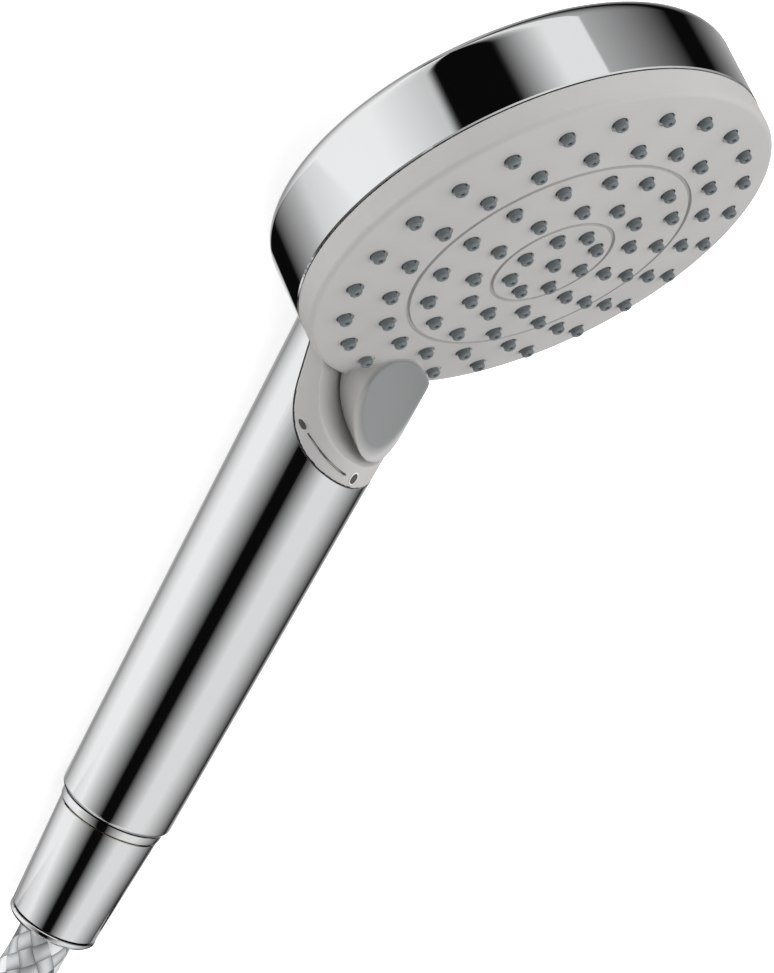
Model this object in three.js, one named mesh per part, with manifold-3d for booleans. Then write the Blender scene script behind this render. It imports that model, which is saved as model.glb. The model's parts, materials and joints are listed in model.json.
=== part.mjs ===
// Handheld shower head with a spray selector lever, lying on its back with its hose coiled beside it.
// Units are millimetres, +Z is up. The origin is on the surface that the shower lies on, below the
// middle of the shower itself (head, handle and conical nut, without the hose).
import * as THREE from 'three';
import { mergeVertices } from 'three/addons/utils/BufferGeometryUtils.js';
import Module from 'manifold-3d';

const wasm = await Module();
wasm.setup();

// ---- Driving dimensions ----------------------------------------------------------------------

const gap = 0.3; // clearance between pieces that touch

// Head. Its own frame has its origin at the middle of the domed spray face, +Z out of the face
// along the head's axis and +X towards the handle.
const headRadius = 50;
const headDepth = 28.5; // face to flat back
const backEdgeRadius = 4;
const faceSphere = 254; // radius of the dome of the spray face
const faceRadius = 49.9;
const seamDepth = 10.5; // face to the seam between the face and the chrome shell
const shellWall = 2.6;

// Nozzles: one in the middle, then rings of [radius, places]. Each ring has a place on the lever's
// line, and the outermost one gives that place up to the lever.
const nozzleRings = [[9.3, 8], [17.9, 12], [26.3, 16], [34.7, 20], [43.1, 24]];
const nozzleRadius = 1.32;
const nozzleHeight = 1.4;

// Handle. Its own frame has +Z along its axis, away from the head, and +X towards the back.
const handleTilt = 26.1; // degrees that the handle rises out of the plane of the face
const handleMeet = 34.26; // depth at which the handle's axis meets the head's axis
const handleRootRadius = 15.9; // radius of the handle's cone at the head's axis
const handleTaper = 0.0204;
const handleStart = 47; // distances along the handle's axis, from the head's axis
const handleEnd = 164.5;
const handleBore = 9.3;
const ductOffset = 6.4; // the water duct enters the head below the handle's axis
const ductRadius = 4.9;

// Collar and lever, in the head's frame, as arcs in the plane through both axes.
const collarArc = { x: 42.1, z: 9, radius: 21.1 };
const recessArc = { x: 38, z: 9.5, radius: 20.4 };
const leverClearance = 1;
const leverHalfWidth = 9.7;
const leverBend = 46.5; // where it is widest
const leverFoot = 37.5; // its rounded end on the face
const discTurn = 1.4; // degrees from the handle's line to the lever, at rest against its stop
const footSlope = 40; // slope in degrees of the collar's straight foot
const footRun = 12;

// Conical hose nut, along the handle's axis.
const nutStart = 167;
const nutEnd = 192.8;
const nutTopRadius = 11.3;
const nutEndRadius = 9.9;

// Hose, coil and far fitting.
const hoseRadius = 6;
const coilCentre = new THREE.Vector3(218, 24, 0);
const coilInner = 48.5; // inside and outside of the wound ring, two turns wide and two high
const coilOuter = 72.5;
const coilBottom = 1.4;
const coilTop = 25.4;
const tieThickness = 1.1;
const tieWidth = 8;
const tieAngles = [40, 170];
const farTilt = 8; // degrees that the far fitting slopes down, and turns from -Y towards -X
const farTurn = 80.45;

// Middle line of the hose from the conical nut to the coil.
const hoseRunRoute = [
  [112.9, 0, 11.9], [118, 0, 11.8], [127, 0, 11.5], [136.6, -0.9, 10.6], [145.8, -3.7, 9.5],
  [154.4, -8.1, 8.5], [161.9, -14.2, 7.8], [171.6, -23.7, 7.4], [182.5, -32.3, 7.4],
  [196.1, -38.8, 7.4],
];
// Middle line of the hose from the coil to the far fitting.
const hoseEndRoute = [
  [206, 90.3, 19.2], [194, 89.5, 18.6], [181.1, 88.2, 17.6], [168.2, 86.3, 16],
];

// The shower lies on the back edge of its head and along its handle.
const restTilt = 27.5;

// ---- Materials -------------------------------------------------------------------------------

const material = (color, roughness, metalness) =>
  () => new THREE.MeshStandardMaterial({ color, roughness, metalness });
const chrome = material(0xd9dcde, 0.08, 1);
const greyPlastic = material(0xc3c0be, 0.45, 0);
const silicone = material(0x8a9599, 0.6, 0);
const whitePlastic = material(0xe9e9e4, 0.5, 0);
const blackRubber = material(0x222425, 0.8, 0);
const brass = material(0xc9a24a, 0.3, 1);
const steel = material(0xa9adb0, 0.3, 1);
const hoseBraid = material(0xb9bdbf, 0.25, 0.6);
const strap = material(0x2c2e30, 0.7, 0);

// ---- Helpers ---------------------------------------------------------------------------------

const radians = THREE.MathUtils.degToRad;

function weld(geometry) {
  const bare = geometry.clone();
  bare.deleteAttribute('normal');
  bare.deleteAttribute('uv');
  const welded = mergeVertices(bare, 1e-4);
  const kept = [];
  const index = welded.index.array;
  for (let i = 0; i < index.length; i += 3) {
    const [a, b, c] = index.slice(i, i + 3);
    if (a !== b && b !== c && c !== a) kept.push(a, b, c);
  }
  welded.setIndex(kept);
  return facingOut(welded);
}

function facingOut(geometry) {
  const position = geometry.attributes.position;
  const index = geometry.index.array;
  const corner = (i) => new THREE.Vector3().fromBufferAttribute(position, index[i]);
  let volume = 0;
  for (let i = 0; i < index.length; i += 3) {
    volume += corner(i).dot(corner(i + 1).cross(corner(i + 2)));
  }
  if (volume < 0) {
    for (let i = 0; i < index.length; i += 3) {
      [index[i], index[i + 1]] = [index[i + 1], index[i]];
    }
  }
  return geometry;
}

function toSolid(geometry) {
  const welded = weld(geometry);
  const vertProperties = new Float32Array(welded.attributes.position.array);
  const triVerts = new Uint32Array(welded.index.array);
  return new wasm.Manifold(new wasm.Mesh({ numProp: 3, vertProperties, triVerts }));
}

function fromSolid(solid) {
  const mesh = solid.getMesh();
  const geometry = new THREE.BufferGeometry();
  geometry.setAttribute('position', new THREE.BufferAttribute(mesh.vertProperties, 3));
  geometry.setIndex(new THREE.BufferAttribute(mesh.triVerts, 1));
  return geometry;
}

const combine = (first, others, how) =>
  fromSolid(others.reduce((solid, other) => solid[how](toSolid(other)), toSolid(first)));
const join = (first, ...others) => combine(first, others, 'add');
const cut = (first, ...others) => combine(first, others, 'subtract');
const common = (first, ...others) => combine(first, others, 'intersect');

// A solid turned about Z from [radius, height] points.
function turned(profile, segments = 32) {
  const points = profile.map(([radius, height]) => new THREE.Vector2(radius, height));
  return weld(new THREE.LatheGeometry(points, segments).rotateX(Math.PI / 2));
}

// A plain ring, or a disc where the inner radius is 0.
function ring(inner, outer, low, high, segments = 32) {
  const profile = [[inner, low], [outer, low], [outer, high], [inner, high]];
  if (inner > 0) profile.push([inner, low]);
  return turned(profile, segments);
}

// An O-ring, or any ring with a round section.
function roundRing(radius, section, height, segments = 20, sides = 6) {
  const profile = [];
  for (let i = 0; i <= sides; i += 1) {
    const angle = (2 * Math.PI * i) / sides;
    profile.push([radius + section * Math.cos(angle), height + section * Math.sin(angle)]);
  }
  return turned(profile, segments);
}

function polar(radius, degrees, height = 0) {
  const angle = radians(degrees);
  return new THREE.Vector3(radius * Math.cos(angle), radius * Math.sin(angle), height);
}

const moved = (geometry, { x, y, z }) => geometry.translate(x, y, z);

function roundShape(radius, sides) {
  const shape = new THREE.Shape();
  for (let i = 0; i < sides; i += 1) {
    const angle = (2 * Math.PI * i) / sides;
    const point = [radius * Math.cos(angle), radius * Math.sin(angle)];
    if (i === 0) shape.moveTo(...point);
    else shape.lineTo(...point);
  }
  shape.closePath();
  return shape;
}

function alongRoute(shape, route, steps) {
  const points = route.map((point) => new THREE.Vector3(...point));
  const extrudePath = new THREE.CatmullRomCurve3(points);
  return weld(new THREE.ExtrudeGeometry(shape, { steps, extrudePath, bevelEnabled: false }));
}

// A coil spring along Z.
function spring(radius, wire, low, high, turns) {
  class Helix extends THREE.Curve {
    getPoint(t, target = new THREE.Vector3()) {
      const angle = 2 * Math.PI * turns * t;
      const height = THREE.MathUtils.lerp(low + wire, high - wire, t);
      return target.set(radius * Math.cos(angle), radius * Math.sin(angle), height);
    }
  }
  const options = { steps: turns * 8, extrudePath: new Helix(), bevelEnabled: false };
  return weld(new THREE.ExtrudeGeometry(roundShape(wire, 5), options));
}

// ---- Frames ----------------------------------------------------------------------------------

const handleMatrix = new THREE.Matrix4()
  .makeRotationY(radians(90 - handleTilt))
  .setPosition(0, 0, -handleMeet);
const inHead = (geometry) => geometry.applyMatrix4(handleMatrix);

const domeHeight = (radius) => Math.sqrt(faceSphere ** 2 - radius ** 2) - faceSphere;
const handleRadius = (distance) => handleRootRadius - handleTaper * distance;

// ---- Head and handle -------------------------------------------------------------------------

function arcPoints(centreX, centreZ, radius, from, to, count) {
  const points = [];
  for (let i = 0; i <= count; i += 1) {
    const angle = radians(THREE.MathUtils.lerp(from, to, i / count));
    points.push([centreX + radius * Math.cos(angle), centreZ + radius * Math.sin(angle)]);
  }
  return points;
}

function handleCone(from, to) {
  const [start, end] = [handleRadius(from), handleRadius(to)];
  return inHead(turned([[0, from], [start, from], [end, to], [0, to]], 32));
}

// The outline of the grey collar seen from the side, extruded across the handle.
function collarBlock(inset) {
  const radius = collarArc.radius - inset;
  const shape = new THREE.Shape();
  const slope = radians(footSlope);
  const low = slope - Math.PI / 2;
  const foot = new THREE.Vector2(Math.cos(low), Math.sin(low)).multiplyScalar(radius);
  foot.add(new THREE.Vector2(collarArc.x, collarArc.z));
  shape.moveTo(foot.x - footRun * Math.cos(slope), foot.y - footRun * Math.sin(slope));
  shape.lineTo(foot.x, foot.y);
  shape.absarc(collarArc.x, collarArc.z, radius, low, 0, false);
  shape.lineTo(collarArc.x + radius, 30);
  shape.lineTo(30, 30);
  shape.lineTo(30, foot.y - footRun * Math.sin(slope));
  const options = { depth: 60, bevelEnabled: false, curveSegments: 8 };
  const block = new THREE.ExtrudeGeometry(shape, options);
  return block.rotateX(Math.PI / 2).translate(0, 30, 0);
}

function bodyShell() {
  const edge = backEdgeRadius;
  const backEdge = arcPoints(headRadius - edge, edge - headDepth, edge, -90, 0, 3);
  const seam = -seamDepth - gap;
  const cup = turned([[0, -headDepth], ...backEdge, [headRadius, seam], [0, seam]], 48);
  const tipRadius = 1.6;
  const tip = arcPoints(handleRadius(handleEnd) - tipRadius, handleEnd - tipRadius, tipRadius, 0, 90, 2);
  const startRadius = handleRadius(handleStart);
  const cone = turned([[0, handleStart], [startRadius, handleStart], ...tip, [0, handleEnd]], 32);
  const outside = join(cup, inHead(cone));
  const wallRadius = headRadius - shellWall;
  const cavity = ring(0, wallRadius, shellWall - 0.2 - headDepth, 0, 48);
  const faceSpace = ring(0, headRadius + gap, seam, 40, 48);
  const collarSpace = cut(collarBlock(0), ring(0, headRadius, -40, 40, 48));
  const bore = inHead(ring(0, handleBore, 84, 180, 24));
  const duct = inHead(ring(0, ductRadius, 38, 112, 20).translate(ductOffset, 0, 0));
  return cut(outside, cavity, faceSpace, collarSpace, bore, duct);
}

// The hollow that the lever swings over, turned about the head's axis.
function recess() {
  const { x, z, radius } = recessArc;
  const floor = arcPoints(x, z, radius, -56, 0, 5);
  return turned([...floor, [x + radius, 40], [45, 40], [45, floor[0][1]], floor[0]], 64);
}

function collar() {
  const cone = handleCone(44, 82);
  const headSpace = ring(0, headRadius + gap, -40, 40, 64);
  const duct = inHead(ring(0, ductRadius, 38, 112, 20).translate(ductOffset, 0, 0));
  return cut(common(cone, collarBlock(gap)), headSpace, recess(), duct);
}

function nozzlePlaces() {
  const places = [{ radius: 0, angle: 0 }];
  const outermost = nozzleRings.length - 1;
  nozzleRings.forEach(([radius, count], row) => {
    for (let i = row === outermost ? 1 : 0; i < count; i += 1) {
      places.push({ radius, angle: (360 * i) / count });
    }
  });
  return places;
}

const atEachNozzle = (shapeFor) =>
  nozzlePlaces().map(({ radius, angle }) => moved(shapeFor(radius), polar(radius, angle)));

const faceUnderside = () =>
  [[47.2, -7.4], ...[46.6, 30, 0].map((radius) => [radius, domeHeight(radius) - 2.2])];

// The lever: a tongue that carries on the handle's cone, hollowed for the thumb.
function lever() {
  const reach = recessArc.x + recessArc.radius - leverClearance;
  const shape = new THREE.Shape();
  const [down, up] = [-Math.PI / 2, Math.PI / 2];
  shape.moveTo(leverBend, -leverHalfWidth);
  shape.absellipse(leverBend, 0, reach - leverBend, leverHalfWidth, down, up, false, 0);
  shape.absellipse(leverBend, 0, leverBend - leverFoot, leverHalfWidth, up, up + Math.PI, false, 0);
  const options = { depth: 26, bevelEnabled: false, curveSegments: 10 };
  const plan = new THREE.ExtrudeGeometry(shape, options);
  plan.translate(0, 0, -seamDepth);
  const { x, z, radius } = recessArc;
  const under = arcPoints(x, z, radius - leverClearance, -56, 0, 5);
  const [foot, top] = [under[0], under.at(-1)];
  const below = turned([
    ...under, [70, top[1]], [70, -20], [faceRadius, -20], [faceRadius, foot[1]], foot,
  ], 64);
  const inside = turned([[0, -30], [48.2, -30], [48.2, -7], [30, domeHeight(30) - 1.2], [0, -1.2]], 32);
  const scoop = new THREE.SphereGeometry(1, 20, 12).scale(27, 22.5, 20);
  scoop.rotateY(radians(-36)).translate(35.6, -3, 18.2);
  return cut(common(plan, handleCone(10, 90)), below, inside, scoop);
}

function sprayFace() {
  const dome = [0, 22, 38].map((radius) => [radius, domeHeight(radius)]);
  const shoulder = arcPoints(46.9, -7.5, 3, 90, 0, 3);
  const plate = turned([...dome, ...shoulder, [faceRadius, -seamDepth], [47.4, -seamDepth],
    ...faceUnderside()], 32);
  const holes = atEachNozzle((radius) => {
    const height = domeHeight(radius);
    return ring(0, nozzleRadius + gap + 0.1, height - 5, height + 3, 5);
  });
  return cut(join(plate, lever()), ...holes);
}

function nozzleMat() {
  const top = [0, 30, 45.6].map((radius) => [radius, domeHeight(radius) - 2.6]);
  const bottom = [45.6, 30, 0].map((radius) => [radius, domeHeight(radius) - 4]);
  const nozzles = atEachNozzle((radius) => {
    const height = domeHeight(radius);
    return ring(0, nozzleRadius, height - 3.5, height + nozzleHeight, 5);
  });
  return join(turned([...top, ...bottom], 28), ...nozzles);
}

function jetPlate() {
  const plate = turned([
    [1.9, -8.4], [5, -8.4], [5, -4.4], [6.5, -4.4], [6.5, -6.2], [28.8, -7.4], [28.8, -5.95], [31.8, -6.3],
    [31.8, -7.9], [44.8, -9.4], [44.8, -8.35], [46.4, -8.6], [46.4, -12.4], [10, -12.4], [10, -18.5],
    [5.4, -18.5], [5.4, -11], [1.9, -11], [1.9, -8.4],
  ], 28);
  const port = (place) => moved(ring(0, 1.8, -14, -5, 8), place);
  const ports = [[20, 4], [36, 6]].flatMap(([radius, count]) =>
    Array.from({ length: count }, (_, i) => port(polar(radius, (360 * (i + 0.5)) / count))));
  return cut(plate, ...ports);
}

const portAngles = [-40, 40];
const portRadius = 22;

function diverterDisc() {
  const ports = portAngles.map((angle) => moved(ring(0, 2.6, -16, -11, 10), polar(portRadius, angle)));
  return cut(ring(12.2, 30, -14.7, -12.7, 32), ...ports);
}

const detentPlace = polar(36, 180);

function innerBody() {
  const cup = turned([
    [0, -25.8], [46.8, -25.8], [46.8, -15.3], [44.6, -15.3], [44.6, -23.6], [5, -23.6], [5, -11.3],
    [1.8, -11.3], [1.8, -22], [0, -22],
  ], 28);
  const bosses = portAngles.map((angle) => moved(ring(0, 4.8, -24, -17, 12), polar(portRadius, angle)));
  const pockets = portAngles.map((angle) => moved(ring(0, 3.7, -22.6, -10, 12), polar(portRadius, angle)));
  const socket = moved(ring(0, 4.4, -24, -16.2, 16), detentPlace);
  const socketBore = moved(ring(0, 2.9, -23, -10, 16), detentPlace);
  const inlet = inHead(ring(0, ductRadius, 45.5, 60, 20).translate(ductOffset, 0, 0));
  return cut(join(cup, ...bosses, socket), ...pockets, socketBore, inlet);
}

function retainingScrew() {
  const screw = turned([[0, -21.5], [1.5, -21.5], [1.5, -7], [3.2, -7], [3.2, -4.9], [0, -4.9]], 16);
  return cut(screw, ring(0, 1.4, -6.2, -4, 6));
}

function detentPlunger() {
  return moved(turned([
    [0, -12.7], [1.2, -12.9], [2.2, -13.9], [2.6, -15.2], [2.6, -20.5], [1.9, -20.5], [1.9, -16], [0, -16],
  ], 16), detentPlace);
}

// ---- Waterway in the handle, in the handle's frame -------------------------------------------

function waterwayTube() {
  const wall = roundShape(4.4, 10);
  wall.holes.push(new THREE.Path(roundShape(3.1, 10).getPoints()));
  const route = [[6.4, 0, 51], [6.4, 0, 80], [4.7, 0, 100], [1.2, 0, 120], [0, 0, 130], [0, 0, 139]];
  return alongRoute(wall, route, 12);
}

function inletInsert() {
  return turned([
    [3.6, 139.5], [8.9, 139.5], [8.9, 149], [7.6, 149], [7.6, 151.4], [8.9, 151.4], [8.9, 164.8],
    [10.1, 164.8], [10.1, 175.4], [6, 175.4], [6, 143], [3.6, 143], [3.6, 139.5],
  ], 20);
}

function checkValveBody() {
  return turned([
    [2.4, 146], [5.7, 146], [5.7, 158], [3, 158], [3, 156.6], [4.6, 156.6], [4.6, 147.5], [2.4, 147.5],
    [2.4, 146],
  ], 20);
}

function checkValvePoppet() {
  return turned([[0, 149.8], [1.1, 149.8], [1.1, 154.6], [3.9, 154.6], [3.9, 156], [0, 156.2]], 16);
}

function flowLimiter() {
  return turned([[1.5, 161], [5.7, 161], [5.7, 165], [4, 165], [4, 162.5], [1.5, 162.5], [1.5, 161]], 20);
}

function filterScreen() {
  const bars = [-2, 2].flatMap((offset) => {
    const length = 2 * Math.sqrt(5.4 ** 2 - offset ** 2);
    const bar = () => new THREE.BoxGeometry(length, 0.5, 0.6);
    return [bar().translate(0, offset, 172.9), bar().rotateZ(Math.PI / 2).translate(offset, 0, 172.9)];
  });
  return join(ring(5, 5.7, 172.5, 173.3, 20), ...bars);
}

// ---- Hose fittings ---------------------------------------------------------------------------

function hoseNut() {
  return turned([
    [10.45, nutStart], [nutTopRadius - 0.3, nutStart], [nutTopRadius, nutStart + 0.4],
    [nutEndRadius, nutEnd], [7, nutEnd], [7, 180.2], [10.45, 180.2], [10.45, nutStart],
  ], 28);
}

function hoseNutRing() {
  return turned([
    [7, 193.1], [9.95, 193.1], [10, 193.8], [9.6, 194.5], [8.9, 194.8], [7, 194.8], [7, 193.1],
  ], 28);
}

// A barbed tail that the hose is pushed over, with the flange that the nut pulls up.
function tail(flangeLow, flangeHigh, barbEnd) {
  return turned([
    [3, flangeLow], [9.7, flangeLow], [9.7, flangeHigh], [4.2, flangeHigh], [4.2, barbEnd], [3, barbEnd],
    [3, flangeLow],
  ], 24);
}

// The union nut, whose shoulder pulls up the far tail's flange and the washer on it.
function farNut() {
  return turned([
    [7.6, 11.5], [12.2, 11.5], [12.2, 27], [10.4, 27], [10.4, 13.3], [7.6, 13.3], [7.6, 11.5],
  ], 32);
}

// ---- Hose ------------------------------------------------------------------------------------

const coilSpace = () => moved(ring(0, coilOuter + gap, -5, 40, 72), coilCentre);

const hoseTube = (route, steps) => cut(alongRoute(roundShape(hoseRadius, 10), route, steps), coilSpace());

function hoseCoil() {
  const corner = 4;
  const quarter = (x, z, from) => arcPoints(x, z, corner, from, from + 90, 1);
  const [inside, outside] = [coilInner + corner, coilOuter - corner];
  const [low, high] = [coilBottom + corner, coilTop - corner];
  const profile = [
    ...quarter(outside, low, -90), ...quarter(outside, high, 0), ...quarter(inside, high, 90),
    ...quarter(inside, low, 180),
  ];
  return moved(turned([...profile, profile[0]], 36), coilCentre);
}

// A flat strap around the wound ring; its lower run lies on the surface.
function hoseTie(degrees) {
  const inner = {
    low: coilInner - 2 * gap, high: coilOuter + gap, bottom: tieThickness, top: coilTop + gap,
  };
  const loop = (grow) => {
    const path = new THREE.Shape();
    path.moveTo(inner.low - grow, inner.bottom - grow);
    path.lineTo(inner.high + grow, inner.bottom - grow);
    path.lineTo(inner.high + grow, inner.top + grow);
    path.lineTo(inner.low - grow, inner.top + grow);
    path.closePath();
    return path;
  };
  const outline = loop(tieThickness);
  outline.holes.push(new THREE.Path(loop(0).getPoints()));
  const band = new THREE.ExtrudeGeometry(outline, { depth: tieWidth, bevelEnabled: false });
  band.rotateX(Math.PI / 2).translate(0, tieWidth / 2, 0).rotateZ(radians(degrees));
  return moved(band, coilCentre);
}

// ---- Assembly --------------------------------------------------------------------------------

const object = new THREE.Group();
const shower = new THREE.Group();
const head = new THREE.Group();
const disc = new THREE.Group();
const handle = new THREE.Group();
object.add(shower);
shower.add(head);
head.add(disc, handle);
disc.rotation.z = radians(discTurn);
head.rotation.y = radians(restTilt);
handle.applyMatrix4(handleMatrix);

function add(parent, name, geometry, finish) {
  geometry.computeVertexNormals();
  const mesh = new THREE.Mesh(geometry, finish());
  mesh.name = name;
  parent.add(mesh);
}

add(head, 'body_shell', bodyShell(), chrome);
add(head, 'collar', collar(), greyPlastic);
add(disc, 'spray_face', sprayFace(), greyPlastic);
add(disc, 'nozzle_mat', nozzleMat(), silicone);
add(disc, 'jet_plate', jetPlate(), whitePlastic);
add(disc, 'diverter_disc', diverterDisc(), whitePlastic);
add(head, 'glide_ring', ring(44.6, 46.6, -15, -12.7, 32), whitePlastic);
add(head, 'inner_body', innerBody(), whitePlastic);
add(head, 'retaining_screw', retainingScrew(), steel);
add(head, 'retaining_washer', ring(1.8, 4.4, -8.1, -7.3, 20), steel);
add(head, 'hub_o_ring', roundRing(11, 0.7, -16.9), blackRubber);
portAngles.forEach((angle, i) => {
  const seal = moved(ring(2.2, 3.4, -22.3, -15, 16), polar(portRadius, angle));
  add(head, `port_seal_${i + 1}`, seal, blackRubber);
});
add(head, 'detent_plunger', detentPlunger(), steel);
add(head, 'detent_spring', moved(spring(1.3, 0.25, -22.7, -17.4, 4), detentPlace), steel);

add(handle, 'waterway_tube', waterwayTube(), whitePlastic);
add(handle, 'inlet_insert', inletInsert(), brass);
add(handle, 'inlet_ring', ring(10.4, 11.6, 164.8, 166.6, 32), chrome);
add(handle, 'insert_o_ring', roundRing(8.5, 0.55, 150.2), blackRubber);
add(handle, 'check_valve_body', checkValveBody(), whitePlastic);
add(handle, 'check_valve_poppet', checkValvePoppet(), whitePlastic);
add(handle, 'check_valve_spring', spring(1.8, 0.25, 147.8, 151.8, 3), steel);
add(handle, 'flow_limiter', flowLimiter(), whitePlastic);
add(handle, 'filter_screen', filterScreen(), steel);
add(handle, 'hose_washer', ring(4, 9.6, 175.7, 177.5, 24), blackRubber);
add(handle, 'hose_nut', hoseNut(), chrome);
add(handle, 'hose_nut_ring', hoseNutRing(), chrome);
add(handle, 'hose_tail', tail(177.8, 179.8, 190), brass);
add(handle, 'hose_ferrule', ring(4.5, 6.7, 180.1, 190, 24), steel);

// The shower is set down on the surface, with the origin below the middle of its box.
const box = new THREE.Box3().setFromObject(shower, true);
const middle = box.getCenter(new THREE.Vector3());
shower.position.set(-middle.x, -middle.y, -box.min.z);

add(object, 'hose_run', hoseTube(hoseRunRoute, 9), hoseBraid);
add(object, 'hose_coil', hoseCoil(), hoseBraid);
add(object, 'hose_end', hoseTube(hoseEndRoute, 5), hoseBraid);
tieAngles.forEach((angle, i) => add(object, `hose_tie_${i + 1}`, hoseTie(angle), strap));

// The far fitting carries on from the end of the hose.
const fitting = new THREE.Group();
fitting.position.set(...hoseEndRoute.at(-1));
fitting.rotation.set(radians(90 + farTilt), 0, radians(-farTurn), 'ZYX');
object.add(fitting);
add(fitting, 'far_ferrule', ring(4.5, 7, 0.3, 13, 24), chrome);
add(fitting, 'far_tail', tail(15.6, 17.4, 27).rotateX(Math.PI).translate(0, 0, 31), brass);
add(fitting, 'far_nut', farNut(), chrome);
add(fitting, 'far_washer', ring(4, 9.6, 15.7, 17.7, 24), blackRubber);

export default object;
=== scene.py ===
"""A handheld shower head with a spray lever, lying on its back, and its hose wound into a tied coil."""

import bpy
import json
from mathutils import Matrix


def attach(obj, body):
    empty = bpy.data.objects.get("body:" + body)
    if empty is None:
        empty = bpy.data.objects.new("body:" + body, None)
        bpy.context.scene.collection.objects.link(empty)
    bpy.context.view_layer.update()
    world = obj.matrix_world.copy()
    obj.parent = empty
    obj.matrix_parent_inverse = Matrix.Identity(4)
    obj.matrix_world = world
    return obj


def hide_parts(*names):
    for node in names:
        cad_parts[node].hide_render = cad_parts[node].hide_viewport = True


bl_info = {
    "name": "Handheld shower head",
    "version": (1, 0, 0),
    "blender": (4, 5, 0),
    "location": "View3D > Sidebar > Shower",
    "description": "Makes a handheld shower head, its hose and its fittings around a packed frame",
    "category": "Add Mesh",
}

import json
import math

import bmesh
import bpy
from bpy.props import FloatProperty, FloatVectorProperty, IntProperty, PointerProperty
from mathutils import Matrix, Vector

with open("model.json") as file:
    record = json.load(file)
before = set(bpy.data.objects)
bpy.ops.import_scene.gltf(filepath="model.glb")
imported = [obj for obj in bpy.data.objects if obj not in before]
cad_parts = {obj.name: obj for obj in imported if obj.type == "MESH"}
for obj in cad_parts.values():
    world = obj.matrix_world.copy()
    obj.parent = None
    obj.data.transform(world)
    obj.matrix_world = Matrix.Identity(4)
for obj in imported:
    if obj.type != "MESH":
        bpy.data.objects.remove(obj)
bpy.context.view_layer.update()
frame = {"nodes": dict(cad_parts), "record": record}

MM = 0.001
SMOOTH_BELOW = math.radians(32)  # edges flatter than this are shaded as one surface

# ---- Frames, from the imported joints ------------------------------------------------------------

JOINTS = {joint["name"]: joint for joint in frame["record"]["behaviour"]["joints"]}


def along(axis, origin):
    """A frame in millimetres whose Z runs along axis, turned only about Y where it can be."""
    z = Vector(axis).normalized()
    y = Vector((0, 1, 0)) if abs(z.y) < 0.5 else Vector((0, 0, 1))
    x = y.cross(z).normalized()
    y = z.cross(x)
    turn = Matrix((x, y, z)).transposed().to_4x4()
    return Matrix.Translation(origin) @ turn @ Matrix.Scale(MM, 4)


HANDLE_TILT = math.radians(26.1)
HANDLE_MEET = 34.26
HEAD = along(JOINTS["spray_select"]["axis"], Vector(JOINTS["spray_select"]["pos_m"]))
DISC_TURN = Matrix.Rotation(math.radians(1.4), 4, "Z")
HANDLE_IN_HEAD = Matrix.Translation((0, 0, -HANDLE_MEET)) @ Matrix.Rotation(
    math.pi / 2 - HANDLE_TILT, 4, "Y"
)
HANDLE = HEAD @ HANDLE_IN_HEAD
FAR_JOINT = JOINTS["far_nut_turn"]
FAR_AXIS = Vector(FAR_JOINT["axis"]).normalized()
FAR = along(FAR_AXIS, Vector(FAR_JOINT["pos_m"]) - FAR_AXIS * 20 * MM)

# ---- Shared shapes, in millimetres -------------------------------------------------------------

BACK_EDGE = 4
SEAM = -10.8
HANDLE_START, HANDLE_END = 47.0, 164.5
CONE_ROOT, CONE_TAPER = 15.9, 0.0204
COLLAR_ARC = (42.1, 9, 21.1)
RECESS_ARC = (38, 9.5, 20.4)
DUCT = (6.4, 4.9)
NOZZLE_RINGS = ((9.3, 8), (17.9, 12), (26.3, 16), (34.7, 20), (43.1, 24))


class ShowerSizes(bpy.types.PropertyGroup):
    head_radius: FloatProperty(
        name="Head radius", description="Radius of the chrome head, in millimetres",
        default=50.0, min=40.0, max=60.0,
    )
    head_depth: FloatProperty(
        name="Head depth", description="From the middle of the face to the flat back, in millimetres",
        default=28.5, min=20.0, max=40.0,
    )
    dome_radius: FloatProperty(
        name="Dome radius", description="Radius of the sphere that the face follows, in millimetres",
        default=254.0, min=150.0, max=1000.0,
    )
    root_fillet: FloatProperty(
        name="Root fillet", description="Radius where the handle runs into the head, in millimetres",
        default=3.2, min=0.5, max=6.0,
    )
    nozzle_radius: FloatProperty(
        name="Nozzle radius", description="Radius of one spray nozzle, in millimetres",
        default=1.32, min=0.8, max=1.6,
    )
    nozzle_height: FloatProperty(
        name="Nozzle height", description="How far a nozzle stands out of the face, in millimetres",
        default=1.4, min=0.5, max=3.0,
    )
    nut_ribs: IntProperty(
        name="Nut ribs", description="Grip ribs round the union nut", default=36, min=12, max=60,
    )


class ShowerColours(bpy.types.PropertyGroup):
    chrome: FloatVectorProperty(
        name="Chrome", description="Colour of the chrome plating", subtype="COLOR",
        size=3, min=0, max=1, default=(0.86, 0.87, 0.875),
    )
    face: FloatVectorProperty(
        name="Face", description="Colour of the spray face, its lever and the collar",
        subtype="COLOR", size=3, min=0, max=1, default=(0.42, 0.412, 0.405),
    )
    nozzles: FloatVectorProperty(
        name="Nozzles", description="Colour of the silicone nozzles", subtype="COLOR",
        size=3, min=0, max=1, default=(0.13, 0.15, 0.158),
    )


class HoseSizes(bpy.types.PropertyGroup):
    length: FloatProperty(
        name="Length", description="Whole length of the hose", default=1.5, unit="LENGTH",
    )
    diameter: FloatProperty(
        name="Diameter", description="Outside diameter of the hose", default=0.012, unit="LENGTH",
    )
    strands: IntProperty(
        name="Strands", description="Strands of the braid each way round the hose", default=8,
        min=4, max=24,
    )


def dome(radius):
    sphere = bpy.context.scene.shower_sizes.dome_radius
    return math.sqrt(sphere**2 - radius**2) - sphere


def cone_radius(distance):
    return CONE_ROOT - CONE_TAPER * distance


# ---- Mesh helpers ------------------------------------------------------------------------------


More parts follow.
